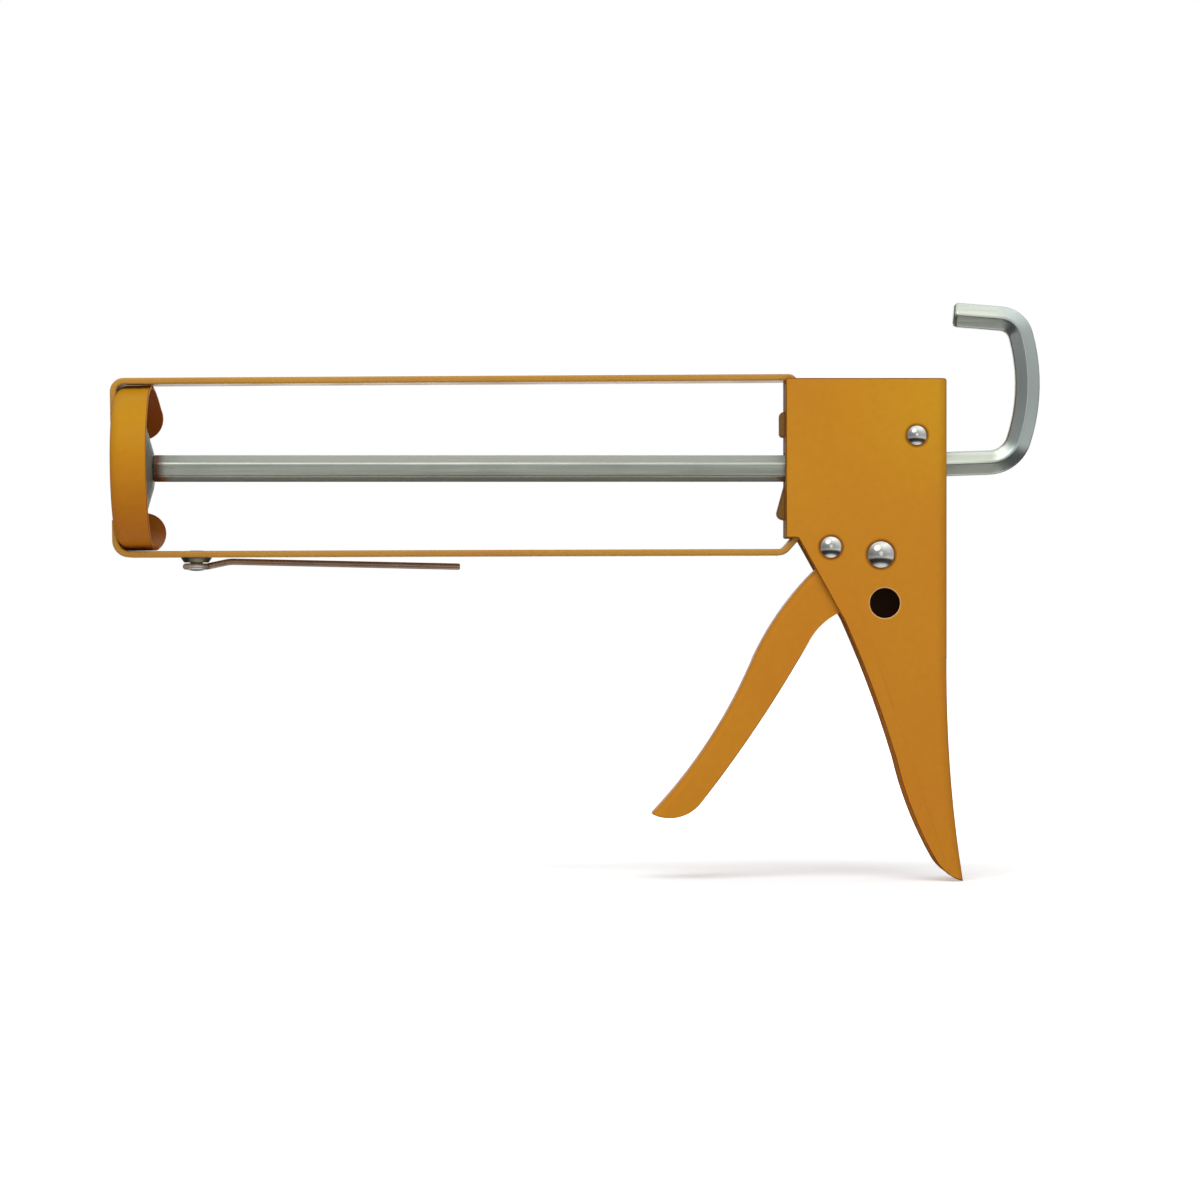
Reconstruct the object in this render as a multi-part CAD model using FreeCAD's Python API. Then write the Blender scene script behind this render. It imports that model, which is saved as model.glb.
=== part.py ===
import FreeCAD, Part
import math
import os

# Skeleton caulking gun for a 300 ml cartridge, in millimetres.
# X runs along the push rod: -X towards the nozzle, +X towards the pull hook.
# Z is up, the grip hangs down.  The origin is on the rod's axis, on the front
# face of the rear plate, where the bottom of the cartridge sits.

# ---- driving dimensions -------------------------------------------------
fixed_gap = 0.05                # radial clearance round rivets and bushes
running_gap = 0.3               # clearance between faces that move past each other

# bay
bay_length = 218.9              # front face of the cup to the front face of the rear plate
rail_gap_top = 0.22             # between the cup's wall and the rail over it
rail_gap_bottom = 0.05          # between the cup's wall and the rail under it

# frame straps
strap_thickness = 2.1
strap_side_gap = 1.3            # between a strap and the inside of a side plate
strap_edge_radius = 0.7
top_corner_radius = 4.5         # outer bend radii at the front corners
bottom_corner_radius = 5.6
lap_proud = 1.0                 # the laps stand this far in front of the cup's floor
top_rail_slope = 0.33           # degrees, away from the axis to the rear
top_lap_end = 12.15             # from the lap's end to the cup's brim
top_tuck_x = 0.9                # where the top rail starts to bend in
top_tuck_radius = 3.1           # outer bend radius
top_tuck_length = 4.1           # straight end beyond the bend
bottom_rail_slope = -0.19
bottom_lap_end = 10.05
bottom_tuck_x = -2.2
bottom_tuck_radius = 4.5
bottom_tuck_length = 7.4
tuck_angle = 48.0

# front cup
cup_axis_z = -0.05
cup_radius = 27.05
cup_sheet = 1.4
cup_corner_radius = 3.6
cup_depth = 12.0                # floor to rim, outside
cup_lean = 0.9                  # degrees, the cup leans forward at the top
landing_side_gap = 0.8          # landing beyond the side of a lap
landing_reach = 0.8             # landing beyond the end of a lap
nozzle_slot_half_width = 12.0
nozzle_slot_z = -2.0
upper_ear_run = 6.3             # floor to the ear's centre
upper_ear_inset = 9.6           # ear's centre to the cup's brim
upper_ear_radius = 7.4
lower_ear_run = 6.7
lower_ear_inset = 5.0
lower_ear_radius = 7.8

# body shell: side plates and spine folded from one sheet
body_width = 25.0
body_sheet = 1.2
body_bend_radius = 3.5
body_top_rise = 1.93            # top of the body above the top rail's front end
body_front_step = 4.35          # bottom rail's front end to the body's level bottom edge
body_toe_x = 4.0                # rear end of the short level edge
spine_x = 52.5                  # rear face of the spine
spine_curve_z = -66.0           # the spine is straight above this
grip_length = 134.7             # below the rod's axis
grip_kick = 5.35                # tip of the grip behind the spine
grip_edge_top_x = 19.0          # where the straight slanted edge ends
grip_edge_top_z = -49.7
grip_hollow_depth = 0.8         # finger hollow behind its chord
grip_hollow_end = (22.0, 39.7)  # end of the finger hollow, ahead of the tip and above it
grip_belly_depth = 1.3
grip_belly_end = (9.1, 6.7)
grip_toe_via = (5.1, 2.4)
body_top_corner_radius = 0.9
rod_slot_rise = 1.6             # extra height of the rod hole in the spine

# rear plate
rear_plate_thickness = 2.0
rear_plate_corner_radius = 2.5
rear_plate_side_gap = 0.1
rod_hole_gap = 0.6
upper_lug_height = 1.75
upper_lug_low_z = 10.2
upper_lug_high_z = 18.3
lug_half_width = 6.0
lug_corner_radius = 1.2
lower_lug_height = 2.5
lower_lug_root_z = -5.0
lower_lug_tip_z = -14.2
lower_lug_end_z = -17.1

# rivets through the body
rear_rivet_x = 42.6
rear_rivet_z = 10.5
rear_rivet_shank = 2.2
rear_rivet_head = 3.1
rear_rivet_dome = 1.3
stop_rivet_x = 14.65
stop_rivet_z = -25.9
stop_rivet_shank = 2.2
stop_rivet_head = 3.4
stop_rivet_dome = 1.4
pivot_x = 30.9
pivot_z = -28.3
pivot_shank = 3.0
pivot_head = 4.25
pivot_dome = 1.8
rear_sleeve_wall = 0.8
stop_sleeve_wall = 1.1
pivot_sleeve_wall = 1.0

# spout cutter hole in the left side plate
cutter_x = 32.2
cutter_z = -44.1
cutter_radius = 4.9
cutter_edge_gap = 1.3           # from the hole's rim to the trigger's concave shear edge

# trigger: channel with its web on the finger side
trigger_side_gap = 1.0
trigger_sheet = 1.2
trigger_bend_radius = 2.6
trigger_start_x = 13.9
trigger_heading = 221.3
trigger_upper_radius = 98.2
trigger_upper_turn = 25.2
trigger_lower_radius = 168.2
trigger_lower_turn = 19.2
trigger_toe_run = 2.4
trigger_toe_via = (-36.4, -114.2)
trigger_toe_end = (-27.8, -109.6)
trigger_back_via = (-9.75, -84.8)
trigger_back_end = (7.2, -57.4)
trigger_heel_via = (11.0, -51.9)
trigger_heel_end = (19.5, -46.4)
nose_x = 33.0                   # rounded end of the upper arms
nose_z = -11.5
nose_radius = 5.0
boss_wall = 4.2                 # trigger sheet round the pivot's bush
arm_step = 1.0                  # the arms stay upright to this far below the drive plate

# drive plate and its spring
drive_plate_thickness = 3.0
drive_plate_side_gap = 0.6
drive_plate_half_height = 17.0
drive_plate_corner_radius = 3.0
drive_hole_gap = 0.25
drive_nose_gap = 0.15           # between the plate and the trigger's arms at rest
spring_wire = 1.6
spring_rod_gap = 2.1            # between the rod's corners and the coils
spring_turns = 8
spring_end_gap = 0.1

# rod drag spring
drag_thickness = 0.5
drag_width = 7.0
drag_hook_turn = 150.0
drag_foot_radius = 3.0
drag_rod_gap = 0.3
drag_toe_turn = 30.0
drag_toe_length = 2.0

# push rod, hexagonal, with its pull hook
rod_flats = 7.94
rod_roll = 9.0                  # degrees, edge nearest the top leans to the left
rod_twist_start = 8.5           # ahead of the spine's rear face
hook_roll = 30.0
hook_start = -1.0               # behind the spine's rear face
hook_start_z = 1.4
hook_heading = 2.0
hook_first_run = 15.6
hook_first_radius = 10.4
hook_first_turn = 70.0
hook_back_radius = 60.0
hook_back_turn = 33.5
hook_top_radius = 7.4
hook_top_turn = 69.8
hook_last_run = 15.6
hook_end_chamfer = 0.8
tenon_radius = 2.4
tenon_head_radius = 4.2
tenon_head_height = 2.0

# plunger
plunger_run = 12.0              # cup's front face to the rear face of the hub
plunger_side_gap = 2.9          # between the rim and the cup's wall
plunger_sheet = 1.5
plunger_hub_radius = 6.2
plunger_slope = 17.0            # degrees, the cone between hub and rim
plunger_depth = 7.6             # hub to rim
plunger_rim_bend = 2.5
plunger_drop = 0.8              # the plate hangs this low on its tenon
washer_thickness = 1.0

# seal punch under the bottom rail
punch_run = 26.1                # cup's front face to the rivet's axis
punch_wire_diameter = 2.1
punch_ring_radius = 3.45
punch_shank = 2.05
punch_collar_wall = 2.0         # at its lower end
punch_collar_flare = 1.1        # wider by this at its upper end
punch_collar_height = 1.6
punch_collar_gap = 0.25
punch_head_gap = 0.1
punch_head_radius = 2.9
punch_head_height = 0.35
punch_top_head_radius = 2.8
punch_top_head_height = 0.15
punch_rise_angle = 12.0
punch_rise_length = 6.3
punch_bend_radius = 12.0
punch_fall_angle = 1.25
punch_length = 86.4             # rivet's axis to the tip
punch_end_chamfer = 0.35

# ---- sizes that follow ---------------------------------------------------
plate_inner_y = body_width / 2 - body_sheet
strap_width = 2 * (plate_inner_y - strap_side_gap)
trigger_width = 2 * (plate_inner_y - trigger_side_gap)
drive_plate_width = 2 * (plate_inner_y - drive_plate_side_gap)
landing_width = strap_width + 2 * landing_side_gap
cup_front_x = -bay_length
lap_face_x = cup_front_x - lap_proud
cup_rim_x = cup_front_x + cup_depth
top_rail_front_z = cup_radius + cup_axis_z + rail_gap_top           # inner faces of the rails at the cup,
bottom_rail_front_z = cup_radius - cup_axis_z + rail_gap_bottom     # above and below the rod's axis
top_lap_end_z = cup_axis_z + cup_radius - top_lap_end
bottom_lap_end_z = cup_radius - cup_axis_z - bottom_lap_end
body_top_z = top_rail_front_z + body_top_rise
body_front_bottom_z = body_front_step - bottom_rail_front_z
grip_tip_x = spine_x + grip_kick
grip_tip_z = -grip_length
rear_sleeve_radius = rear_rivet_shank + rear_sleeve_wall
stop_sleeve_radius = stop_rivet_shank + stop_sleeve_wall
pivot_sleeve_radius = pivot_shank + pivot_sleeve_wall
boss_radius = pivot_sleeve_radius + boss_wall
cutter_edge_radius = cutter_radius + cutter_edge_gap
rod_corner_radius = rod_flats / 2 / math.cos(math.radians(30))
rod_hole_radius = rod_corner_radius + rod_hole_gap
rod_straight_end_x = spine_x - rod_twist_start
hook_start_x = spine_x + hook_start
spring_radius = rod_corner_radius + spring_rod_gap + spring_wire / 2
stop_sleeve_bottom_z = stop_rivet_z - stop_sleeve_radius
trigger_top_z = stop_sleeve_bottom_z - running_gap
drive_plate_front_x = nose_x - nose_radius - drive_nose_gap - drive_plate_thickness
plunger_hub_x = cup_front_x + plunger_run
plunger_rim_x = plunger_hub_x - plunger_depth
plunger_radius = cup_radius - cup_sheet - plunger_side_gap
tenon_hole_radius = tenon_radius + plunger_drop
washer_radius = plunger_hub_radius - plunger_drop - plunger_sheet * math.tan(math.radians(plunger_slope / 2))
punch_x = cup_front_x + punch_run
punch_end_x = punch_x + punch_length
punch_collar_radius = punch_shank + punch_collar_wall
LARGE = 400.0


# ---- drawing helpers -----------------------------------------------------
def vector(x, z, y=0.0):
    """A point given by its place in the side view."""
    return FreeCAD.Vector(x, y, z)


def line(a, b):
    """Straight edge between two side-view points."""
    return Part.LineSegment(vector(*a), vector(*b)).toShape()


def arc(a, via, b):
    """Circular edge from a through via to b."""
    return Part.Arc(vector(*a), vector(*via), vector(*b)).toShape()


def face_of(edges):
    """Flat face bounded by edges that follow each other."""
    return Part.Face(Part.Wire(edges))


def outline(start, steps):
    """Closed face: a step is a point to go straight to, or (via, end) for an arc."""
    edges = []
    here = start
    for step in steps + [start]:
        if isinstance(step[0], tuple):
            via, end = step
            edges.append(arc(here, via, end))
            here = end
        else:
            edges.append(line(here, step))
            here = step
    return face_of(edges)


def side(position, heading, distance):
    """The point a distance to the left of a heading, in degrees."""
    angle = math.radians(heading + 90)
    return (position[0] + distance * math.cos(angle), position[1] + distance * math.sin(angle))


def ahead(position, heading, distance):
    """The point a distance along a heading."""
    return side(position, heading - 90, distance)


def trace(start, heading, moves, offset=0.0):
    """Edges of a path of runs (None, length) and bends (radius, turn), offset to its left."""
    edges = []
    for radius, amount in moves:
        first = side(start, heading, offset)
        if radius is None:
            start = ahead(start, heading, amount)
            edges.append(line(first, side(start, heading, offset)))
            continue
        hand = 1 if amount > 0 else -1
        centre = side(start, heading, hand * radius)
        middle = side(centre, heading + amount / 2, -hand * radius)
        start = side(centre, heading + amount, -hand * radius)
        via = side(middle, heading + amount / 2, offset)
        heading += amount
        edges.append(arc(first, via, side(start, heading, offset)))
    return edges, start, heading


def band(start, heading, moves, left, right):
    """Face between two offsets of one path."""
    left_edges, end, end_heading = trace(start, heading, moves, left)
    right_edges, end, end_heading = trace(start, heading, moves, right)
    start_cap = line(side(start, heading, right), side(start, heading, left))
    end_cap = line(side(end, end_heading, left), side(end, end_heading, right))
    return Part.Face(Part.Wire(Part.__sortEdges__(left_edges + right_edges + [start_cap, end_cap])))


def extruded(face, width, middle_y=0.0):
    """Solid of a side-view face, a width across, centred on middle_y."""
    placed = face.translated(FreeCAD.Vector(0, middle_y - width / 2, 0))
    return placed.extrude(FreeCAD.Vector(0, width, 0))


def box(x_low, x_high, y_low, y_high, z_low, z_high):
    """Block between two corners."""
    corner = FreeCAD.Vector(x_low, y_low, z_low)
    return Part.makeBox(x_high - x_low, y_high - y_low, z_high - z_low, corner)


def cylinder_x(x_low, x_high, radius, z=0.0, y=0.0):
    """Cylinder along X."""
    return Part.makeCylinder(radius, x_high - x_low, vector(x_low, z, y), FreeCAD.Vector(1, 0, 0))


def cylinder_y(x, z, radius, y_low, y_high):
    """Cylinder along Y."""
    return Part.makeCylinder(radius, y_high - y_low, vector(x, z, y_low), FreeCAD.Vector(0, 1, 0))


def cylinder_z(x, z_low, z_high, radius):
    """Cylinder along Z, in the middle plane."""
    return Part.makeCylinder(radius, z_high - z_low, vector(x, z_low), FreeCAD.Vector(0, 0, 1))


def dome_edge(radius, height):
    """Radius of the sphere under a dome of that foot radius and height."""
    return (radius ** 2 + height ** 2) / (2 * height)


def turned(points, place):
    """Solid turned about local Z from (radius, height) points, (via, end) for arcs."""
    start = points[0]
    profile = outline(start, points[1:])
    solid = profile.revolve(vector(0, 0), FreeCAD.Vector(0, 0, 1), 360)
    solid.Placement = place
    return solid


def along(direction, x, z, y=0.0):
    """Placement that turns local Z to a direction, at a point."""
    turn = FreeCAD.Rotation(FreeCAD.Vector(0, 0, 1), FreeCAD.Vector(*direction))
    return FreeCAD.Placement(vector(x, z, y), turn)


def edges_on(solid, path_edges, y):
    """Edges of a solid that lie on a side-view path moved to y."""
    shifted = [edge.translated(FreeCAD.Vector(0, y, 0)) for edge in path_edges]
    found = []
    for edge in solid.Edges:
        middle = edge.valueAt((edge.FirstParameter + edge.LastParameter) / 2)
        if any(path.distToShape(Part.Vertex(middle))[0] < 1e-4 for path in shifted):
            found.append(edge)
    return found


def hexagon(x, z, heading, roll):
    """Corners of the rod's section at a place, square to a heading in the side view."""
    slope = math.radians(heading)
    up = FreeCAD.Vector(-math.sin(slope), 0, math.cos(slope))
    left = FreeCAD.Vector(0, -1, 0)
    corners = []
    for corner in range(6):
        angle = math.radians(roll + 60 * corner)
        spoke = up * math.cos(angle) + left * math.sin(angle)
        corners.append(vector(x, z) + spoke * rod_corner_radius)
    return Part.makePolygon(corners + [corners[0]])


def slab(path, open_side, inset, width):
    """Block on the open side of a path, and the path's own edges moved in by the inset."""
    start, heading, moves = path
    depth = open_side * LARGE / 2
    edges, end, end_heading = trace(start, heading, moves, open_side * inset)
    first = side(start, heading, open_side * inset)
    last = side(end, end_heading, open_side * inset)
    back = [line(last, side(end, end_heading, depth)),
            line(side(end, end_heading, depth), side(start, heading, depth)),
            line(side(start, heading, depth), first)]
    return extruded(face_of(edges + back), width), edges


def folded_channel(path, width, sheet, bend_radius, open_side, profile):
    """Channel: its web follows the path, its walls fill the profile on the open side."""
    bent = []
    for inset in (0.0, sheet):
        half_width = width / 2 - inset
        block, edges = slab(path, open_side, inset, 2 * half_width)
        rims = edges_on(block, edges, half_width) + edges_on(block, edges, -half_width)
        bent.append(block.makeFillet(bend_radius - inset, rims))
    return bent[0].cut(bent[1]).common(extruded(profile, 2 * width))


# ---- frame ---------------------------------------------------------------
def strap_path(lap_end_z, corner_radius, rail_z, slope, tuck_x, tuck_radius,
               tuck_length, lean, axis_z):
    """Inner face of a strap above the axis: lap on the cup's floor, rail, tuck to the rear plate."""
    lap_x = lap_face_x + strap_thickness - (lap_end_z - axis_z) * math.tan(math.radians(lean))
    corner = corner_radius - strap_thickness
    tuck = tuck_radius - strap_thickness
    turn = slope - 90 - lean
    rise = rail_z - lap_end_z - corner * (math.cos(math.radians(slope)) + math.sin(math.radians(lean)))
    lap = rise / math.cos(math.radians(lean))
    bend_end_x = lap_x - rise * math.tan(math.radians(lean)) + corner * (
        math.cos(math.radians(lean)) - math.sin(math.radians(slope)))
    moves = [
        (None, lap),
        (corner, turn),
        (None, (tuck_x - bend_end_x) / math.cos(math.radians(slope))),
        (tuck, -tuck_angle - slope),
        (None, tuck_length),
    ]
    return (lap_x, lap_end_z), 90.0 + lean, moves


def strap(path):
    """Strap whose inner face follows a path."""
    solid = extruded(band(*path, strap_thickness, 0.0), strap_width)
    rims = []
    for offset in (0.0, strap_thickness):
        edges, end, heading = trace(*path, offset)
        for y in (-strap_width / 2, strap_width / 2):
            rims += edges_on(solid, edges, y)
    return solid.makeFillet(strap_edge_radius, rims)


def top_path():
    """Inner face of the top strap."""
    return strap_path(top_lap_end_z, top_corner_radius, top_rail_front_z, top_rail_slope,
                      top_tuck_x, top_tuck_radius, top_tuck_length, cup_lean, cup_axis_z)


def bottom_path():
    """Inner face of the bottom strap, drawn above the axis."""
    return strap_path(bottom_lap_end_z, bottom_corner_radius, bottom_rail_front_z, bottom_rail_slope,
                      bottom_tuck_x, bottom_tuck_radius, bottom_tuck_length, -cup_lean, -cup_axis_z)


def seat_height(path):
    """Height at which the straight end of a strap's inner face crosses the rear plate's rear face."""
    edges, end, heading = trace(*path)
    return end[1] + (rear_plate_thickness - end[0]) * math.tan(math.radians(heading))


def top_strap():
    """Upper rail of the skeleton frame."""
    return strap(top_path())


def bottom_strap():
    """Lower rail, with the hole for the punch rivet."""
    below = strap(bottom_path()).mirror(vector(0, 0), FreeCAD.Vector(0, 0, 1))
    hole_low = -bottom_rail_front_z - 2 * strap_thickness
    return below.cut(cylinder_z(punch_x, hole_low, -bottom_rail_front_z + strap_thickness,
                                punch_shank + fixed_gap))


def cup_form(inset):
    """Filled cup with its floor and wall moved in by an inset, landings pressed in."""
    floor_x = cup_front_x + inset
    radius = cup_radius - inset
    corner = cup_corner_radius - inset
    diagonal = corner * (1 - math.cos(math.radians(45)))
    height = cup_rim_x - floor_x + 2 * lower_ear_radius
    form = turned([(0.0, 0.0), (radius - corner, 0.0),
                   ((radius - diagonal, diagonal), (radius, corner)),
                   (radius, height), (0.0, height)],
                  along((1, 0, 0), floor_x, cup_axis_z))
    landing_x = lap_face_x + strap_thickness + inset
    for hand, lap_end_z in ((1, top_lap_end_z), (-1, bottom_lap_end_z)):
        brim = cup_axis_z + hand * radius
        hollow = outline((floor_x - 1, hand * (lap_end_z - landing_reach - inset)), [
            (landing_x, hand * (lap_end_z - landing_reach - inset)),
            (landing_x, brim - hand * corner),
            ((landing_x + diagonal, brim - hand * diagonal), (landing_x + corner, brim)),
            (landing_x + corner, brim + hand),
            (floor_x - 1, brim + hand)])
        form = form.cut(extruded(hollow, landing_width + 2 * inset))
    return form


def ear(run, z, radius, far_z):
    """Side-view shape of one wall ear on the open side, up to the rim beyond the centre."""
    x = cup_front_x + run
    front_x = cup_front_x - 1
    wall = outline((front_x, z), [(x + radius, z), (cup_rim_x, far_z), (front_x, far_z)])
    disc = extruded(Part.Face(Part.Wire(Part.makeCircle(
        radius, vector(x, z), FreeCAD.Vector(0, 1, 0)))), cup_radius, cup_radius / 2)
    return extruded(wall, cup_radius, cup_radius / 2).fuse(disc)


def front_cup():
    """Pressed cup: floor with the nozzle slot, wall open on the right side between two ears."""
    shell = cup_form(0.0).cut(cup_form(cup_sheet))
    top_z = cup_axis_z + cup_radius
    bottom_z = cup_axis_z - cup_radius
    kept = box(cup_front_x - 1, cup_rim_x, -2 * cup_radius, 0, -2 * cup_radius, 2 * cup_radius).fuse([
        ear(upper_ear_run, top_z - upper_ear_inset, upper_ear_radius, top_z + 1),
        ear(lower_ear_run, bottom_z + lower_ear_inset, lower_ear_radius, bottom_z - 1),
        box(cup_front_x - 1, cup_front_x + cup_corner_radius, 0, cup_radius - cup_corner_radius,
            -cup_radius, cup_radius)])
    slot = cylinder_x(cup_front_x - 1, cup_front_x + cup_corner_radius,
                      nozzle_slot_half_width, nozzle_slot_z)
    slot = slot.fuse(box(cup_front_x - 1, cup_front_x + cup_corner_radius, 0, 2 * cup_radius,
                         nozzle_slot_z - nozzle_slot_half_width,
                         nozzle_slot_z + nozzle_slot_half_width))
    cup = shell.common(kept).cut(slot)
    cup.rotate(vector(cup_front_x, cup_axis_z), FreeCAD.Vector(0, 1, 0), -cup_lean)
    return cup


def rear_plate():
    """End plate between the side plates, with a stop lug above and a lanced tab below."""
    half_width = plate_inner_y - rear_plate_side_gap
    plate = box(0, rear_plate_thickness, -half_width, half_width,
                -seat_height(bottom_path()), seat_height(top_path()))
    corners = [edge for edge in plate.Edges if abs(edge.tangentAt(edge.FirstParameter).x) > 0.9]
    plate = plate.makeFillet(rear_plate_corner_radius, corners)
    lug = box(-upper_lug_height, 0, -lug_half_width, lug_half_width, upper_lug_low_z, upper_lug_high_z)
    front_rims = [edge for edge in lug.Edges if edge.BoundBox.XMax < -upper_lug_height / 2]
    lug = lug.makeFillet(lug_corner_radius, front_rims)
    tab = extruded(outline((0, lower_lug_root_z), [
        (-lower_lug_height, lower_lug_tip_z),
        ((-lower_lug_height, lower_lug_tip_z - lug_corner_radius), (-lower_lug_height / 2, lower_lug_end_z + 0.4)),
        (0, lower_lug_end_z)]), 2 * lug_half_width)
    hole = cylinder_x(-1, rear_plate_thickness + 1, rod_hole_radius)
    return plate.fuse([lug, tab]).cut(hole).removeSplitter()


# ---- body and rivets -----------------------------------------------------
def spine_path():
    """Rear face of the spine from the top down: straight, then curved out to the grip's tip."""
    bulge = grip_tip_x - spine_x
    fall = spine_curve_z - grip_tip_z
    radius = (bulge ** 2 + fall ** 2) / (2 * bulge)
    turn = math.degrees(math.asin(fall / radius))
    top = body_top_z + 2 * body_top_corner_radius
    return (spine_x, top), -90.0, [(None, top - spine_curve_z), (radius, turn)]


def near_tip(offset):
    """Point of the grip's outline ahead of its tip and above it."""
    return (grip_tip_x - offset[0], grip_tip_z + offset[1])


def bowed(a, b, depth):
    """Point beside the middle of a chord, to the left of the way from a to b."""
    heading = math.degrees(math.atan2(b[1] - a[1], b[0] - a[0]))
    return side(((a[0] + b[0]) / 2, (a[1] + b[1]) / 2), heading, depth)


def body_shell():
    """Side plates, spine and grip, with rivet holes, cutter hole and the spine's rod hole."""
    corner = body_top_corner_radius
    corner_via = corner * (1 - math.cos(math.radians(45)))
    edge_top = (grip_edge_top_x, grip_edge_top_z)
    hollow_end = near_tip(grip_hollow_end)
    belly_end = near_tip(grip_belly_end)
    profile = outline((0.0, body_top_z), [
        (spine_x - corner, body_top_z),
        ((spine_x - corner_via, body_top_z - corner_via), (spine_x, body_top_z - corner)),
        (grip_tip_x + 1, body_top_z - corner),
        (grip_tip_x + 1, grip_tip_z),
        (grip_tip_x, grip_tip_z),
        (near_tip(grip_toe_via), belly_end),
        (bowed(hollow_end, belly_end, -grip_belly_depth), hollow_end),
        (bowed(edge_top, hollow_end, grip_hollow_depth), edge_top),
        (body_toe_x, body_front_bottom_z),
        (0.0, body_front_bottom_z)])
    shell = folded_channel(spine_path(), body_width, body_sheet, body_bend_radius, -1, profile)
    holes = [
        cylinder_y(rear_rivet_x, rear_rivet_z, rear_rivet_shank + fixed_gap, -body_width, body_width),
        cylinder_y(stop_rivet_x, stop_rivet_z, stop_rivet_shank + fixed_gap, -body_width, body_width),
        cylinder_y(pivot_x, pivot_z, pivot_shank + fixed_gap, -body_width, body_width),
        cylinder_y(cutter_x, cutter_z, cutter_radius, -body_width, 0),
        cylinder_x(spine_x - 5, spine_x + 5, rod_hole_radius),
        cylinder_x(spine_x - 5, spine_x + 5, rod_hole_radius, rod_slot_rise),
        box(spine_x - 5, spine_x + 5, -rod_hole_radius, rod_hole_radius, 0, rod_slot_rise)]
    return shell.cut(holes)


def domed_rivet(x, z, shank, head, dome):
    """Rivet across the body with a domed head on each side plate."""
    seat = body_width / 2
    slope = math.asin(head / dome_edge(head, dome)) / 2
    sphere = dome_edge(head, dome)
    via_radius = sphere * math.sin(slope)
    via_height = seat + dome - sphere * (1 - math.cos(slope))
    return turned([(0.0, -seat - dome),
                   ((via_radius, -via_height), (head, -seat)),
                   (shank, -seat), (shank, seat), (head, seat),
                   ((via_radius, via_height), (0.0, seat + dome))],
                  along((0, 1, 0), x, z))


def sleeve(x, z, outer_radius, shank):
    """Tube on a rivet that keeps the side plates apart."""
    length = 2 * plate_inner_y
    tube = cylinder_y(x, z, outer_radius, -length / 2, length / 2)
    return tube.cut(cylinder_y(x, z, shank + fixed_gap, -length, length))


# ---- trigger and drive ---------------------------------------------------
def trigger_path():
    """Finger side of the trigger from the top down: two bends of opposite hand."""
    return (trigger_start_x, trigger_top_z), trigger_heading, [
        (trigger_upper_radius, trigger_upper_turn),
        (trigger_lower_radius, -trigger_lower_turn),
        (None, trigger_toe_run)]


def polar(x, z, radius, degrees):
    """Point on a circle in the side view."""
    return ahead((x, z), degrees, radius)


def trigger():
    """Lever with pivot boss, shear edge round the cutter hole and two arms to the drive plate."""
    path = trigger_path()
    toe_tip = trace(*path)[1]
    sleeve_clear = stop_sleeve_radius + running_gap
    profile = outline((trigger_start_x, trigger_top_z), [
        (trigger_start_x - 2 * trigger_sheet, trigger_top_z),
        (toe_tip[0] - 20.0, toe_tip[1] + 20.0),
        toe_tip,
        (trigger_toe_via, trigger_toe_end),
        (trigger_back_via, trigger_back_end),
        (trigger_heel_via, trigger_heel_end),
        polar(cutter_x, cutter_z, cutter_edge_radius, 197),
        (polar(cutter_x, cutter_z, cutter_edge_radius, 143), polar(cutter_x, cutter_z, cutter_edge_radius, 90)),
        polar(pivot_x, pivot_z, boss_radius, -35),
        (polar(pivot_x, pivot_z, boss_radius, 0), polar(pivot_x, pivot_z, boss_radius, 35)),
        (nose_x + nose_radius, nose_z),
        (polar(nose_x, nose_z, nose_radius, 90), (nose_x - nose_radius, nose_z)),
        (nose_x - nose_radius, -drive_plate_half_height - arm_step),
        (stop_rivet_x + 2 * sleeve_clear, stop_rivet_z),
        (stop_rivet_x + sleeve_clear, trigger_top_z)])
    channel = folded_channel(path, trigger_width, trigger_sheet, trigger_bend_radius, 1, profile)
    walls = extruded(profile, trigger_width).cut(extruded(profile, trigger_width - 2 * trigger_sheet))
    arms = walls.cut([slab(path, hand, 0.0, body_width)[0] for hand in (1, -1)])
    pivot_hole = cylinder_y(pivot_x, pivot_z, pivot_sleeve_radius + fixed_gap, -body_width, body_width)
    return channel.fuse(arms).removeSplitter().cut(pivot_hole)


def drive_plate():
    """Plate round the rod that the trigger's arms push forward."""
    half_width = drive_plate_width / 2
    plate = box(drive_plate_front_x, drive_plate_front_x + drive_plate_thickness, -half_width, half_width,
                -drive_plate_half_height, drive_plate_half_height)
    corners = [edge for edge in plate.Edges if abs(edge.tangentAt(edge.FirstParameter).x) > 0.9]
    plate = plate.makeFillet(drive_plate_corner_radius, corners)
    grown = (rod_corner_radius + drive_hole_gap / math.cos(math.radians(30))) / rod_corner_radius
    section = hexagon(0, 0, 0, rod_roll)
    section.scale(grown)
    section.translate(vector(drive_plate_front_x - 1, 0))
    hole = Part.Face(section).extrude(FreeCAD.Vector(drive_plate_thickness + 2, 0, 0))
    return plate.cut(hole)


def main_spring():
    """Open coil spring between the rear plate and the drive plate."""
    wire_radius = spring_wire / 2
    low_x = rear_plate_thickness + spring_end_gap + wire_radius
    high_x = drive_plate_front_x - running_gap - wire_radius
    length = high_x - low_x
    helix = Part.makeHelix(length / spring_turns, length, spring_radius)
    circle = Part.Wire(Part.makeCircle(wire_radius, vector(spring_radius, 0), FreeCAD.Vector(0, 1, 0)))
    solid = Part.Wire(helix).makePipeShell([circle], True, True)
    solid.Placement = along((1, 0, 0), low_x, 0)
    return solid


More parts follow.
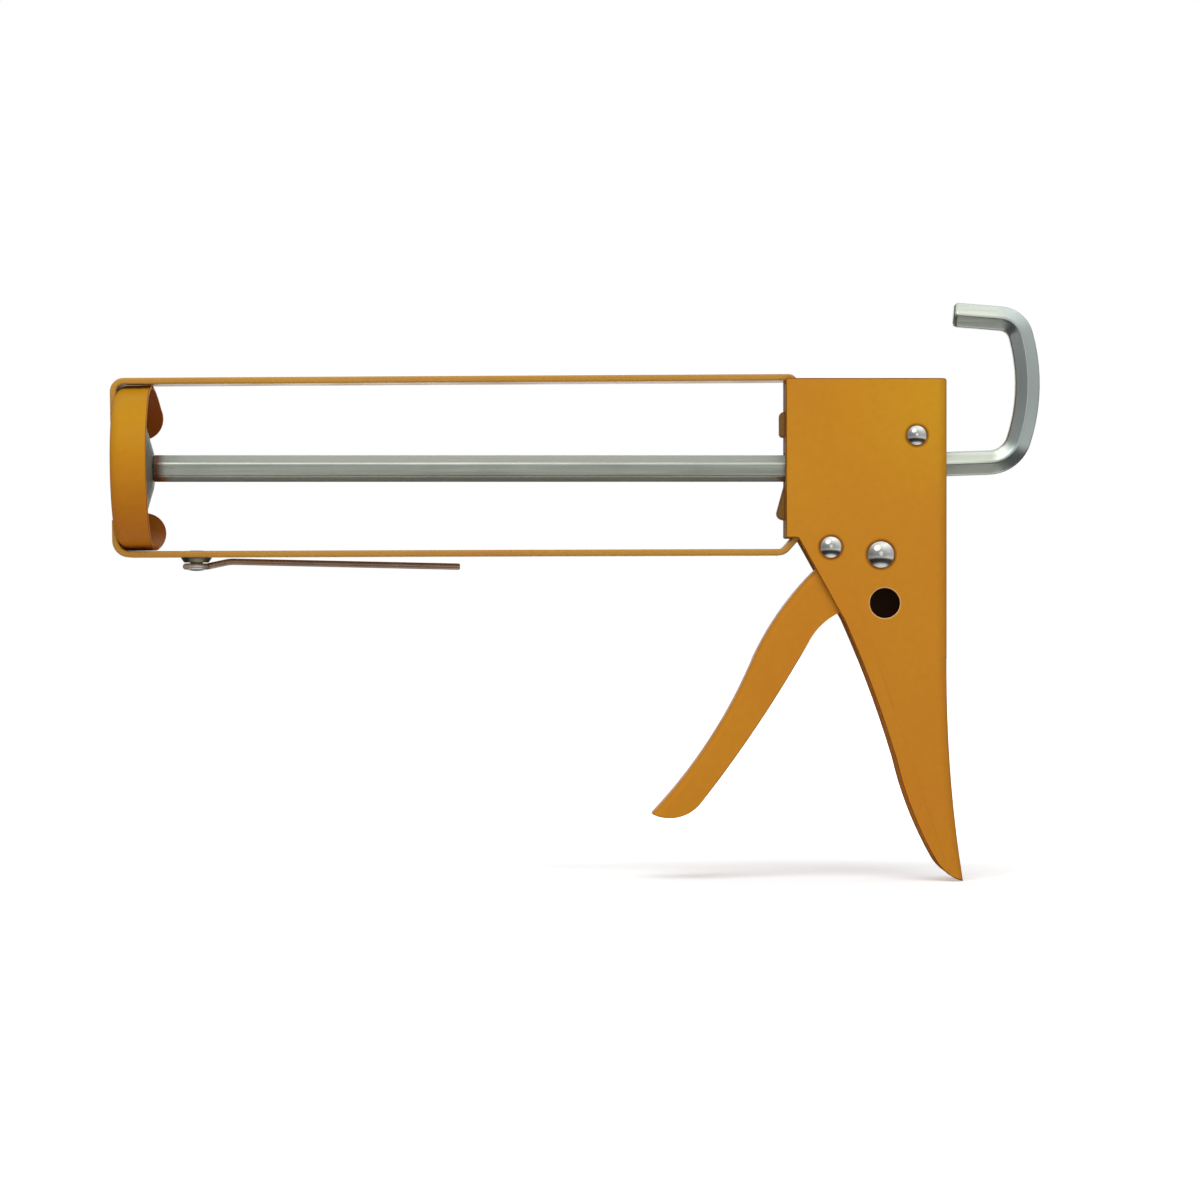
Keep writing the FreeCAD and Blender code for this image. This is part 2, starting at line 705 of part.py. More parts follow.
def drag_spring():
    """Leaf that hooks over the rear sleeve and rests on the rod."""
    hook_radius = rear_sleeve_radius + fixed_gap
    heading = 90 + drag_hook_turn
    bend = heading - 180
    hook_end_z = rear_rivet_z + hook_radius * math.sin(math.radians(drag_hook_turn))
    rod_top = rod_corner_radius * math.cos(math.radians(rod_roll))
    foot_drop = drag_foot_radius * (1 - math.cos(math.radians(bend)))
    fall = hook_end_z - rod_top - drag_rod_gap - foot_drop
    moves = [(hook_radius, drag_hook_turn),
             (None, fall / math.sin(math.radians(bend))),
             (drag_foot_radius, -bend - drag_toe_turn),
             (None, drag_toe_length)]
    start = (rear_rivet_x + hook_radius, rear_rivet_z)
    return extruded(band(start, 90.0, moves, 0.0, -drag_thickness), drag_width)


# ---- rod and plunger -----------------------------------------------------
def hooked_bar():
    """Hook section as straight runs and turned bends of the hexagon."""
    moves = [(None, hook_first_run), (hook_first_radius, hook_first_turn),
             (hook_back_radius, hook_back_turn), (hook_top_radius, hook_top_turn),
             (None, hook_last_run)]
    place = (hook_start_x, hook_start_z)
    heading = hook_heading
    pieces = []
    for radius, amount in moves:
        section = Part.Face(hexagon(*place, heading, hook_roll))
        if radius is None:
            end = ahead(place, heading, amount)
            pieces.append(section.extrude(vector(*end) - vector(*place)))
            place = end
        else:
            centre = side(place, heading, radius)
            pieces.append(section.revolve(vector(*centre), FreeCAD.Vector(0, -1, 0), amount))
            place = side(centre, heading + amount, -radius)
            heading += amount
    last = pieces[-1]
    end_rims = [edge for edge in last.Edges if all(
        abs((vertex.Point - vector(*place)).Length - rod_corner_radius) < 1e-4 for vertex in edge.Vertexes)]
    pieces[-1] = last.makeChamfer(hook_end_chamfer, end_rims)
    return pieces


def hex_rod():
    """Push rod: peened tenon, straight hexagon, a short twist, and the pull hook."""
    straight = Part.Face(hexagon(plunger_hub_x, 0, 0, rod_roll)).extrude(
        FreeCAD.Vector(rod_straight_end_x - plunger_hub_x, 0, 0))
    twist = Part.makeLoft([hexagon(rod_straight_end_x, 0, 0, rod_roll),
                           hexagon(hook_start_x, hook_start_z, hook_heading, hook_roll)], True, True)
    shoulder = plunger_sheet + washer_thickness
    sphere = dome_edge(tenon_head_radius, tenon_head_height)
    slope = math.asin(tenon_head_radius / sphere) / 2
    tip = shoulder + tenon_head_height
    via = (sphere * math.sin(slope), tip - sphere * (1 - math.cos(slope)))
    tenon = turned([(0.0, 0.0), (tenon_radius, 0.0), (tenon_radius, shoulder),
                    (tenon_head_radius, shoulder), (via, (0.0, tip))],
                   along((-1, 0, 0), plunger_hub_x, 0))
    return tenon.fuse([straight, twist] + hooked_bar()).removeSplitter()


def plunger_plate():
    """Pressed pusher: flat hub, cone, and a rim turned forward."""
    slope = math.radians(plunger_slope)
    depth = plunger_hub_x - plunger_rim_x
    bend = plunger_rim_bend
    cone_end = plunger_radius - bend + bend * math.sin(slope)
    cone_drop = (cone_end - plunger_hub_radius) * math.tan(slope)
    middle = (math.pi / 2 + slope) / 2

    def edge(inset):
        bend_x = cone_drop + bend * math.cos(slope)
        bend_r = plunger_radius - bend
        radius = bend - inset
        hub = (plunger_hub_radius - inset * math.tan(slope / 2), inset)
        start = (bend_r + radius * math.sin(slope), bend_x - radius * math.cos(slope))
        via = (bend_r + radius * math.sin(middle), bend_x - radius * math.cos(middle))
        return hub, start, via, (bend_r + radius, bend_x)

    hub, start, via, end = edge(0.0)
    hub_in, start_in, via_in, end_in = edge(plunger_sheet)
    return turned([(tenon_hole_radius, 0.0), hub, start, (via, end), (end[0], depth),
                   (end_in[0], depth), end_in, (via_in, start_in), hub_in,
                   (tenon_hole_radius, plunger_sheet)],
                  along((-1, 0, 0), plunger_hub_x, -plunger_drop))


def plunger_washer():
    """Washer between the plunger and the peened head."""
    rear_x = plunger_hub_x - plunger_sheet
    disc = cylinder_x(rear_x - washer_thickness, rear_x, washer_radius)
    return disc.cut(cylinder_x(rear_x - 2 * washer_thickness, rear_x + 1, tenon_radius + fixed_gap))


# ---- seal punch ----------------------------------------------------------
def bottom_rail_top(x):
    """Height of the bottom rail's inner face at x."""
    return -bottom_rail_front_z - (x - lap_face_x - bottom_corner_radius) * math.tan(math.radians(bottom_rail_slope))


def punch_collar_top():
    """Height of the collar's upper face, under the bottom rail."""
    return bottom_rail_top(punch_x) - strap_thickness - fixed_gap


def punch_ring_z():
    """Height of the punch's eye."""
    return punch_collar_top() - punch_collar_height - punch_collar_gap - punch_wire_diameter / 2


def punch_rivet():
    """Rivet down through the bottom rail that the punch swings on."""
    rail_top = bottom_rail_top(punch_x) + fixed_gap
    head_top = punch_ring_z() - punch_wire_diameter / 2 - punch_head_gap
    shank = cylinder_z(punch_x, head_top, rail_top, punch_shank)
    top = turned([(0.0, 0.0), (punch_top_head_radius, 0.0),
                  (punch_top_head_radius - 0.8, punch_top_head_height),
                  (0.0, punch_top_head_height)], along((0, 0, 1), punch_x, rail_top))
    sphere = dome_edge(punch_head_radius, punch_head_height)
    slope = math.asin(punch_head_radius / sphere) / 2
    via = (sphere * math.sin(slope), punch_head_height - sphere * (1 - math.cos(slope)))
    low = turned([(0.0, 0.0), (punch_head_radius, 0.0), (via, (0.0, punch_head_height))],
                 along((0, 0, -1), punch_x, head_top))
    return shank.fuse([top, low]).removeSplitter()


def punch_collar():
    """Spacer between the bottom rail and the punch's eye."""
    top = punch_collar_top()
    bottom = top - punch_collar_height
    cone = Part.makeCone(punch_collar_radius, punch_collar_radius + punch_collar_flare,
                         punch_collar_height, vector(punch_x, bottom))
    return cone.cut(cylinder_z(punch_x, bottom - 1, top + 1, punch_shank + fixed_gap))


def punch_wire():
    """Stiff wire with a round eye, to pierce the cartridge's inner seal."""
    wire_radius = punch_wire_diameter / 2
    ring_z = punch_ring_z()
    ring = Part.makeTorus(punch_ring_radius, wire_radius, vector(punch_x, ring_z))
    start = (punch_x + punch_ring_radius, ring_z)
    rise = ahead(start, punch_rise_angle, punch_rise_length)
    turn = punch_rise_angle + punch_fall_angle
    centre = side(rise, punch_rise_angle, -punch_bend_radius)
    bend_end = side(centre, punch_rise_angle - turn, punch_bend_radius)
    run = (punch_end_x - bend_end[0]) / math.cos(math.radians(punch_fall_angle))
    direction = math.radians(punch_rise_angle)
    first = Part.makeCylinder(wire_radius, punch_rise_length, vector(*start),
                              FreeCAD.Vector(math.cos(direction), 0, math.sin(direction)))
    section = Part.Face(Part.Wire(Part.makeCircle(
        wire_radius, vector(*rise), FreeCAD.Vector(math.cos(direction), 0, math.sin(direction)))))
    bend = section.revolve(vector(*centre), FreeCAD.Vector(0, 1, 0), turn)
    fall = math.radians(punch_fall_angle)
    last = Part.makeCylinder(wire_radius, run, vector(*bend_end),
                             FreeCAD.Vector(math.cos(fall), 0, -math.sin(fall)))
    end_rims = [edge for edge in last.Edges if edge.BoundBox.XMin > punch_end_x - wire_radius]
    last = last.makeChamfer(punch_end_chamfer, end_rims)
    return ring.fuse([first, bend, last]).removeSplitter()


# ---- write every piece ---------------------------------------------------
def pieces():
    """Every node of the gun by name."""
    rear = (rear_rivet_x, rear_rivet_z)
    stop = (stop_rivet_x, stop_rivet_z)
    pivot = (pivot_x, pivot_z)
    return {
        "top_strap": top_strap(),
        "bottom_strap": bottom_strap(),
        "front_cup": front_cup(),
        "rear_plate": rear_plate(),
        "body_shell": body_shell(),
        "rear_rivet": domed_rivet(*rear, rear_rivet_shank, rear_rivet_head, rear_rivet_dome),
        "stop_rivet": domed_rivet(*stop, stop_rivet_shank, stop_rivet_head, stop_rivet_dome),
        "pivot_rivet": domed_rivet(*pivot, pivot_shank, pivot_head, pivot_dome),
        "rear_sleeve": sleeve(*rear, rear_sleeve_radius, rear_rivet_shank),
        "stop_sleeve": sleeve(*stop, stop_sleeve_radius, stop_rivet_shank),
        "pivot_sleeve": sleeve(*pivot, pivot_sleeve_radius, pivot_shank),
        "trigger": trigger(),
        "drive_plate": drive_plate(),
        "main_spring": main_spring(),
        "drag_spring": drag_spring(),
        "hex_rod": hex_rod(),
        "plunger_plate": plunger_plate(),
        "plunger_washer": plunger_washer(),
        "punch_wire": punch_wire(),
        "punch_rivet": punch_rivet(),
        "punch_collar": punch_collar(),
    }


os.makedirs("parts", exist_ok=True)
for name, shape in pieces().items():
    solids = shape.Solids
    print(name, len(solids), "valid" if shape.isValid() else "INVALID", round(shape.Volume, 2))
    whole = solids[0] if len(solids) == 1 else Part.makeCompound(solids)
    whole.exportStep(f"parts/{name}.step")
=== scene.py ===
"""Looks of a skeleton caulking gun: rounded sheet edges, enamel, plating, floor, lights and camera."""
import logging
import math
from dataclasses import dataclass
from enum import Enum
from typing import Any, Sequence

import bmesh
import bpy
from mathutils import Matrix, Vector


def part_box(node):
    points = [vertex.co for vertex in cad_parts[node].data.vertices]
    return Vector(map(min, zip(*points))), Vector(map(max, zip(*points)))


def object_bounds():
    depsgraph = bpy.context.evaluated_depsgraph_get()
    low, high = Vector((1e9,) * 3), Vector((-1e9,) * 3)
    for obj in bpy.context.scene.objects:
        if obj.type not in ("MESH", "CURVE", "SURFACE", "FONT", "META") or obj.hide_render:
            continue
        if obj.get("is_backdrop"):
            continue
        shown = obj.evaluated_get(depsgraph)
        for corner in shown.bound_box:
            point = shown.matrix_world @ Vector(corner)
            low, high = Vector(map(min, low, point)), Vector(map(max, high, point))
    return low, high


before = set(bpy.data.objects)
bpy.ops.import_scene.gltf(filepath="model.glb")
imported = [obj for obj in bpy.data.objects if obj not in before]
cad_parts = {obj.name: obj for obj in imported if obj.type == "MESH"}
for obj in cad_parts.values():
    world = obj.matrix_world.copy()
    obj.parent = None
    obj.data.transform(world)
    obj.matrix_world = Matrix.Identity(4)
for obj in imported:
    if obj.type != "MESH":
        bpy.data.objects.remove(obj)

LOG = logging.getLogger("caulking_gun")
MM = 0.001

Colour = tuple[float, float, float]
Triple = tuple[float, float, float]
Pair = tuple[float, float]
Socket = bpy.types.NodeSocket
Stops = tuple[tuple[float, float], ...]


def paint_chip(red: int, green: int, blue: int) -> Colour:
    """Linear colour of a chip.

    Args:
        red: Display value from 0 to 255.
        green: Display value from 0 to 255.
        blue: Display value from 0 to 255.

    Returns:
        The colour's three channels, each from 0 to 1.
    """
    def linear(value: float) -> float:
        """One channel without its display curve."""
        return value / 12.92 if value <= 0.04045 else ((value + 0.055) / 1.055) ** 2.4
    return linear(red / 255), linear(green / 255), linear(blue / 255)


class Body(Enum):
    """Bodies that move as one."""

    FRAME = "frame"
    PUSH_ROD = "push_rod"
    TRIGGER = "trigger"
    DRIVE = "drive"
    PUNCH = "punch"


class Grain(Enum):
    """Direction in which a bar, wire or sheet was drawn or brushed, as coordinate scales."""

    NONE = (1.0, 1.0, 1.0)
    ALONG_X = (0.03, 1.0, 1.0)
    ALONG_Z = (1.0, 1.0, 0.04)
    ROUND_Y = (1.0, 0.05, 1.0)


# ---- node graphs ---------------------------------------------------------
@dataclass(frozen=True)
class Clouds:
    """Noise pattern: features per metre, octaves, and the span of raw values that becomes 0 to 1."""

    scale: float
    detail: float
    span: Pair
    roughness: float = 0.5
    distortion: float = 0.0


class Graph:
    """Node tree of a finish or of the world."""

    def __init__(self, tree: bpy.types.NodeTree, coordinates: str) -> None:
        """Empties a tree and takes its patterns' coordinates.

        Args:
            tree: Node tree of a material or of the world.
            coordinates: Output of the coordinates node that patterns start from.
        """
        self.tree = tree
        self.tree.nodes.clear()
        self.coordinates = self.node("TexCoord")
        self.place = self.coordinates.outputs[coordinates]

    def node(self, kind: str, inputs: dict[Any, Any] | None = None, **settings: Any) -> bpy.types.Node:
        """Adds a shader node.

        Args:
            kind: Node type without its ShaderNode prefix.
            inputs: Value or output socket for each input, by name or number.
            settings: Properties of the node.

        Returns:
            The new node.
        """
        node = self.tree.nodes.new("ShaderNode" + kind)
        for key, value in settings.items():
            setattr(node, key, value)
        for key, value in (inputs or {}).items():
            self.feed(node.inputs[key], value)
        return node

    def feed(self, socket: Socket, value: Any) -> None:
        """Links an output to an input, or sets the input's own value.

        Args:
            socket: Input to fill.
            value: Output socket, number or colour.
        """
        if isinstance(value, bpy.types.NodeSocket):
            self.tree.links.new(value, socket)
        elif socket.type == "RGBA" and len(value) == 3:
            socket.default_value = (*value, 1.0)
        else:
            socket.default_value = value

    def stretched(self, scales: Sequence[float]) -> Socket:
        """The place on the object with its axes scaled."""
        return self.node("Mapping", {"Vector": self.place, "Scale": tuple(scales)}).outputs["Vector"]

    def clouds(self, pattern: Clouds, ends: Pair = (0.0, 1.0), place: Socket | None = None) -> Socket:
        """A noise pattern stretched between two ends.

        Args:
            pattern: The noise.
            ends: Values at the low and the high end of its span.
            place: Coordinates, or None for the tree's own.

        Returns:
            The value's socket.
        """
        inputs = {"Vector": place or self.place, "Scale": pattern.scale, "Detail": pattern.detail,
                  "Roughness": pattern.roughness, "Distortion": pattern.distortion}
        return self.remap(self.node("TexNoise", inputs).outputs["Fac"], *pattern.span, *ends)

    def cells(self, scale: float) -> Socket:
        """Distance to the nearest of scattered points, scale of them per metre."""
        return self.node("TexVoronoi", {"Vector": self.place, "Scale": scale}).outputs["Distance"]

    def reach(self, centre: Triple, scales: Triple) -> Socket:
        """Distance from a point.

        Args:
            centre: The point.
            scales: 1 for each axis to measure along, 0 for the others.

        Returns:
            The distance in metres.
        """
        offset = tuple(-part for part in centre)
        away = self.node("Mapping", {"Vector": self.place, "Scale": scales, "Location": offset})
        return self.node("VectorMath", {0: away.outputs["Vector"]}, operation="LENGTH").outputs["Value"]

    def grey(self, level: Socket) -> Socket:
        """Grey of a level."""
        return self.node("CombineColor", {0: level, 1: level, 2: level}).outputs[0]

    def math(self, operation: str, first: Any, second: Any = 0.0, clamp: bool = False) -> Socket:
        """Result of a sum on two values."""
        node = self.node("Math", {0: first, 1: second}, operation=operation, use_clamp=clamp)
        return node.outputs[0]

    def remap(self, value: Socket, low: float, high: float,
              to_low: float = 0.0, to_high: float = 1.0) -> Socket:
        """A value's range stretched to another, with its ends held."""
        inputs = {"Value": value, "From Min": low, "From Max": high, "To Min": to_low, "To Max": to_high}
        return self.node("MapRange", inputs).outputs["Result"]

    def mix(self, factor: Any, first: Any, second: Any, blend: str = "MIX") -> Socket:
        """Blend of two colours.

        Args:
            factor: Share of the second colour.
            first: Lower colour.
            second: Upper colour.
            blend: Blend mode.

        Returns:
            The colour's socket.
        """
        node = self.node("Mix", data_type="RGBA", blend_type=blend, clamp_factor=True)
        for socket, value in ((node.inputs[0], factor), (node.inputs[6], first), (node.inputs[7], second)):
            self.feed(socket, value)
        return node.outputs[2]

    def bump(self, height: Socket, depth: float, strength: float = 1.0,
             normal: Socket | None = None) -> Socket:
        """Normal of a surface raised by a height.

        Args:
            height: Value between 0 and 1.
            depth: Metres from 0 to 1.
            strength: Share of the slope that shows.
            normal: Normal to start from.

        Returns:
            The normal's socket.
        """
        inputs: dict[str, Any] = {"Height": height, "Distance": depth, "Strength": strength}
        if normal is not None:
            inputs["Normal"] = normal
        return self.node("Bump", inputs).outputs["Normal"]

    def axis(self, name: str, source: Socket | None = None) -> Socket:
        """One part of a vector, the tree's own coordinates unless a source is given."""
        return self.node("SeparateXYZ", {0: source or self.place}).outputs[name]

    def normal(self) -> Socket:
        """Normal of the surface in the object's own axes."""
        return self.coordinates.outputs["Normal"]


class MaterialGraph(Graph):
    """Node tree of one material."""

    def __init__(self, name: str) -> None:
        """Starts an empty material.

        Args:
            name: The material's name.
        """
        self.material = bpy.data.materials.new(name)
        self.material.use_nodes = True
        super().__init__(self.material.node_tree, "Object")

    def finish(self, shader: bpy.types.Node) -> bpy.types.Material:
        """Joins the shader to the output and returns the material."""
        self.node("OutputMaterial", {"Surface": shader.outputs[0]})
        return self.material


@dataclass(frozen=True)
class Spot:
    """Round mark on a face that looks along X: a spot weld pressed into a strap."""

    y: float
    z: float
    radius: float = 2.4 * MM


@dataclass(frozen=True)
class Ring:
    """Round area with a soft border on a face that looks along Y."""

    x: float
    z: float
    radius: float
    spread: float = 0.9 * MM


# ---- finishes ------------------------------------------------------------
@dataclass(frozen=True)
class Enamel:
    """Stoved enamel on pressed sheet: orange peel, drift of tone, thinly coated rims darkened as painted
    shade, painted light towards the top, a painted sheen patch, painted shade in cups and channels, dust and
    fine scuffs.
    """

    name: str
    colour: Colour
    warm: Colour
    deep: Colour
    gloss: float = 0.06
    rim_gloss: float = 0.4
    roughness: float = 0.34
    haze: Clouds = Clouds(60.0, 4.0, (0.3, 0.7))
    haze_reach: Pair = (-0.04, 0.05)
    drift: Clouds = Clouds(17.0, 2.0, (0.34, 0.68))
    drift_share: float = 0.6
    # painted light: between these heights the coat turns warmer and lighter towards the top
    pool_heights: Pair = (-60.0 * MM, 40.0 * MM)
    pool_share: float = 0.4
    # painted highlight: the coat turns gold round this ring
    flow: Ring | None = None
    flow_share: float = 0.55
    mottle: Clouds = Clouds(420.0, 3.0, (0.35, 0.65), roughness=0.6)
    mottle_ends: Pair = (0.975, 1.015)
    # rims: a thinner coat, darkened further as painted edge shade
    rim_thinning_and_shade: Clouds = Clouds(90.0, 3.0, (0.3, 0.75))
    rim_thinning_and_shade_ends: Pair = (0.55, 0.9)
    hairs: Clouds = Clouds(1680.0, 2.0, (0.69, 0.74))
    hair_stretch: Triple = (0.05, 1.0, 1.0)
    hair_turn: float = 24.0
    hair_patches: Clouds = Clouds(46.0, 1.0, (0.56, 0.70))
    scuff_share: float = 0.18
    scuff_roughness: float = 0.2
    scuff_gain: float = 1.5
    scuff_base: float = 0.03
    peel: Clouds = Clouds(430.0, 1.5, (0.0, 1.0), roughness=0.35)
    peel_depth: float = 0.016 * MM
    peel_strength: float = 0.55
    nib_scale: float = 1500.0
    nib_sizes: Pair = (0.10, 0.02)
    nib_patches: Clouds = Clouds(150.0, 1.0, (0.55, 0.62))
    nib_depth: float = 0.012 * MM
    nib_strength: float = 0.6
    # painted shade inside a cup round this axis, strongest on faces that look down
    inner_axis_z: float | None = None
    inside_facing: Pair = (-0.2, -0.75)
    inside_slopes: Pair = (0.35, -0.35)
    inside_roof: float = 0.22
    inside_shade_share: float = 0.92
    # inside a folded channel: a slightly darker undercoat as painted shade, near-black painted shade round the
    # throat ring
    hollow_half: float | None = None
    hollow_border: Pair = (0.05 * MM, 0.02 * MM)
    hollow_slopes: Pair = (0.45, 0.15)
    hollow_share: float = 0.95
    shell_back: float = 1.0
    # rings: darker round the foot of each rivet's head
    rings: tuple[Ring, ...] = ()
    rivet_foot_patches: Clouds = Clouds(500.0, 3.0, (0.25, 0.6))
    rivet_foot_ends: Pair = (0.63, 0.9)
    throat: Ring | None = None
    lip: Ring | None = None
    lip_share: float = 0.8
    spots: tuple[Spot, ...] = ()
    spot_border: float = 0.55
    spot_share: float = 0.25
    spot_depth: float = 0.25 * MM

    def tone(self, graph: Graph) -> Socket:
        """Mixes the colour of the coat with its slow drift, painted light towards the top, a painted gold
        sheen patch and fine mottle.

        Args:
            graph: The finish's node tree.

        Returns:
            The colour's socket.
        """
        drift = graph.clouds(self.drift, (0.0, self.drift_share))
        # Painted light: the coat turns warmer and lighter towards the top.
        painted_top_light = graph.remap(graph.axis("Z"), *self.pool_heights, 0.0, self.pool_share)
        tone = graph.mix(graph.math("ADD", drift, painted_top_light, True), self.colour, self.warm)
        # Painted highlight: the coat turns gold round one ring-shaped patch.
        if self.flow is not None:
            flowed = graph.math("MULTIPLY", self.near(graph, self.flow), self.flow_share)
            tone = graph.mix(flowed, tone, PAINTED_SHEEN_GOLD)
        return graph.mix(1.0, tone, graph.grey(graph.clouds(self.mottle, self.mottle_ends)), "MULTIPLY")

    def scuffs(self, graph: Graph) -> Socket:
        """Sparse hair scratches from handling.

        Args:
            graph: The finish's node tree.

        Returns:
            A mask between 0 and 1.
        """
        turn = (0.0, math.radians(self.hair_turn), 0.0)
        place = graph.node("Mapping", {"Vector": graph.place, "Scale": self.hair_stretch, "Rotation": turn})
        hairs = graph.clouds(self.hairs, place=place.outputs["Vector"])
        return graph.math("MULTIPLY", hairs, graph.clouds(self.hair_patches), True)

    def inside(self, graph: Graph) -> Socket:
        """Finds the faces that look towards the axis of a cup, for painted shade.

        Args:
            graph: The finish's node tree.

        Returns:
            A mask, 1 on those faces and lower under the cup's roof.
        """
        normal = graph.node("NewGeometry").outputs["Normal"]
        axis = (0.0, 0.0, -(self.inner_axis_z or 0.0))
        from_axis = graph.node("Mapping", {"Vector": graph.place, "Scale": (0.0, 1.0, 1.0), "Location": axis})
        outward = graph.node("VectorMath", {0: from_axis.outputs["Vector"]}, operation="NORMALIZE").outputs[0]
        facing = graph.node("VectorMath", {0: outward, 1: normal}, operation="DOT_PRODUCT").outputs["Value"]
        roof = graph.remap(graph.axis("Z", normal), *self.inside_slopes, self.inside_roof, 1.0)
        return graph.math("MULTIPLY", graph.remap(facing, *self.inside_facing), roof)

    def hollow(self, graph: Graph) -> Socket:
        """Finds the faces inside a folded channel, which take a slightly darker undercoat as painted shade.

        Args:
            graph: The finish's node tree.

        Returns:
            A mask, 1 on those faces.
        """
        sideways = graph.math("ABSOLUTE", graph.axis("Y"))
        outer, inner = ((self.hollow_half or 0.0) + border for border in self.hollow_border)
        within = graph.remap(sideways, outer, inner)
        back = graph.math("MULTIPLY", graph.axis("X", graph.normal()), self.shell_back)
        return graph.math("MULTIPLY", within, graph.remap(back, *self.hollow_slopes))

    def near(self, graph: Graph, ring: Ring) -> Socket:
        """1 within a ring's radius on the side plate, falling to 0 over its spread."""
        reach = graph.reach((ring.x, 0.0, ring.z), (1.0, 0.0, 1.0))
        return graph.remap(reach, ring.radius + ring.spread, ring.radius)

    def most(self, graph: Graph, masks: Sequence[Socket]) -> Socket:
        """Joins some masks.

        Args:
            graph: The finish's node tree.
            masks: One mask or more.

        Returns:
            The largest of them at each place.
        """
        total = masks[0]
        for mask in masks[1:]:
            total = graph.math("MAXIMUM", total, mask)
        return total

    def rivet_foot_darkening(self, graph: Graph) -> Socket:
        """Strong at the foot of each rivet's head, falling to 0 round it."""
        feet = self.most(graph, [self.near(graph, ring) for ring in self.rings])
        return graph.math("MULTIPLY", feet, graph.clouds(self.rivet_foot_patches, self.rivet_foot_ends))

    def welds(self, graph: Graph) -> Socket:
        """Marks the spot welds.

        Args:
            graph: The finish's node tree.

        Returns:
            A mask, 1 in the middle of each weld and 0 at its edge.
        """
        reaches = [(spot, graph.reach((0.0, spot.y, spot.z), (0.0, 1.0, 1.0))) for spot in self.spots]
        return self.most(graph, [graph.remap(reach, spot.radius, spot.radius * self.spot_border)
                                 for spot, reach in reaches])

    def coat(self, graph: Graph, rim: bool) -> Socket:
        """Colour of the coat with its thinly coated and bare places, painted edge shade on rims, painted shade
        inside cups and channels, and darker rivet feet.

        Args:
            graph: The finish's node tree.
            rim: True for a sheared edge.

        Returns:
            The colour's socket.
        """
        colour = self.tone(graph)
        if rim:
            # Rims: a thinner coat, darkened further as painted edge shade.
            colour = graph.mix(graph.clouds(self.rim_thinning_and_shade, self.rim_thinning_and_shade_ends), colour, self.deep)
            if self.lip is not None:
                worn = graph.math("MULTIPLY", self.near(graph, self.lip), self.lip_share)
                colour = graph.mix(worn, colour, WORN)
        # Painted shade inside the cup, strongest on faces that look down.
        if self.inner_axis_z is not None:
            shaded_inside = graph.math("MULTIPLY", self.inside(graph), self.inside_shade_share)
            colour = graph.mix(shaded_inside, colour, self.deep)
        # Painted shade inside the folded channels, near-black round the cutter's throat.
        if self.hollow_half is not None:
            dark = graph.mix(self.near(graph, self.throat), UNDERCOAT_AND_SHADE, PAINTED_THROAT_SHADE) if self.throat else UNDERCOAT_AND_SHADE
            colour = graph.mix(graph.math("MULTIPLY", self.hollow(graph), self.hollow_share), colour, dark)
        # Darker round the foot of each rivet's head, in patches.
        if self.rings:
            colour = graph.mix(self.rivet_foot_darkening(graph), colour, self.deep)
        return colour

    def material(self, rim: bool = False) -> bpy.types.Material:
        """Builds the finish.

        Args:
            rim: True for the thinner coat on a sheared edge, darkened further as painted shade.

        Returns:
            The material.
        """
        graph = MaterialGraph(self.name + ("_rim" if rim else ""))
        scuffs = self.scuffs(graph)
        bright = tuple(min(1.0, part * self.scuff_gain + self.scuff_base) for part in self.warm)
        colour = graph.mix(graph.math("MULTIPLY", scuffs, self.scuff_share), self.coat(graph, rim), bright)
        haze = graph.clouds(self.haze, tuple(self.roughness + change for change in self.haze_reach))
        roughness = graph.math("ADD", haze, graph.math("MULTIPLY", scuffs, self.scuff_roughness), True)
        normal = graph.bump(graph.clouds(self.peel), self.peel_depth, self.peel_strength)
        nibs = graph.remap(graph.cells(self.nib_scale), *self.nib_sizes)
        sparse = graph.math("MULTIPLY", nibs, graph.clouds(self.nib_patches))
        normal = graph.bump(sparse, self.nib_depth, self.nib_strength, normal)
        if self.spots:
            welds = self.welds(graph)
            colour = graph.mix(graph.math("MULTIPLY", welds, self.spot_share), colour, self.deep)
            normal = graph.bump(graph.math("SUBTRACT", 1.0, welds), self.spot_depth, 1.0, normal)
        return graph.finish(graph.node("BsdfPrincipled", {
            "Base Color": colour, "Roughness": roughness, "Normal": normal,
            "Specular IOR Level": self.gloss * self.rim_gloss if rim else self.gloss}))


